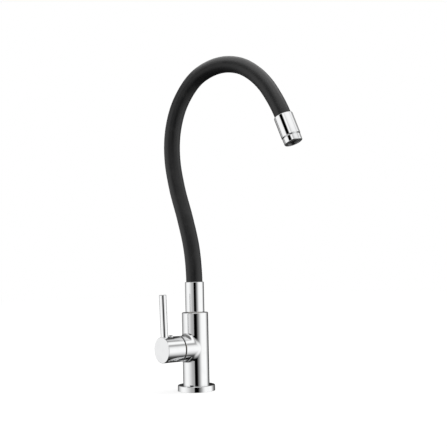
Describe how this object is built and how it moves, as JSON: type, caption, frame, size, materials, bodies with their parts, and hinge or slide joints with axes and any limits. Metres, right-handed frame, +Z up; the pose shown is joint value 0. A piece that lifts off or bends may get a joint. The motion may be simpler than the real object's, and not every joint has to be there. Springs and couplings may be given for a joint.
{
  "type": "kitchen faucet",
  "caption": "Deck-mounted kitchen faucet: round body on a flange, side pin lever on a quarter-turn valve, and a swivelling black gooseneck hose spout with a screw-in aerator.",
  "frame": {"origin": "centre of the underside of the body, level with the deck it stands on", "axes": "+Z up along the body; the lever barrel points along -X; the user stands towards -Y; the spout is stored swung 25 degrees from straight ahead, towards +X"},
  "size_m": [0.1318, 0.1876, 0.4548],
  "materials": {
    "chrome": "bright polished chrome plate on brass",
    "brass": "machined",
    "steel": "machined",
    "ceramic": "lapped alumina, opaque",
    "black_rubber": "moulded",
    "black_silicone": "satin",
    "black_plastic": "moulded",
    "white_plastic": "moulded"
  },
  "bodies": {
    "body": {"faucet_body": "chrome", "base_flange": "chrome", "base_gasket": "black_rubber", "flange_o_ring": "black_rubber", "inlet_strainer": "white_plastic", "slip_ring": "white_plastic", "spout_retaining_screw": "steel", "headwork_housing": "brass", "headwork_o_ring": "black_rubber", "disc_seat_seal": "black_rubber", "fixed_ceramic_disc": "ceramic"},
    "handle": {"handle_barrel": "chrome", "pin_lever": "chrome", "handle_grub_screw": "steel", "grub_screw_plug": "chrome", "spline_insert": "brass", "valve_spindle": "brass", "moving_ceramic_disc": "ceramic", "spindle_o_ring_inner": "black_rubber", "spindle_o_ring_outer": "black_rubber", "spindle_thrust_washer": "white_plastic", "spindle_circlip": "steel"},
    "spout": {"spout_stem": "brass", "upper_swivel_bush": "white_plastic", "lower_swivel_bush": "white_plastic", "upper_swivel_o_ring": "black_rubber", "lower_swivel_o_ring": "black_rubber", "spout_collar": "chrome", "hose_skin": "black_silicone", "gooseneck_core": "steel", "water_tube": "white_plastic", "nozzle_adapter": "brass", "nozzle_sleeve": "chrome", "aerator_housing": "chrome", "aerator_washer": "black_rubber", "aerator_insert": "white_plastic", "aerator_screen": "steel", "aerator_grille": "black_plastic"}
  },
  "joints": [
    {"name": "lever_turn", "type": "hinge", "parent": "body", "child": "handle", "pos_m": [0, 0, 0.058], "axis": [1, 0, 0], "range_deg": [0, 90]},
    {"name": "spout_swivel", "type": "hinge", "parent": "body", "child": "spout", "pos_m": [0, 0, 0.106], "axis": [0, 0, 1], "continuous": true}
  ]
}
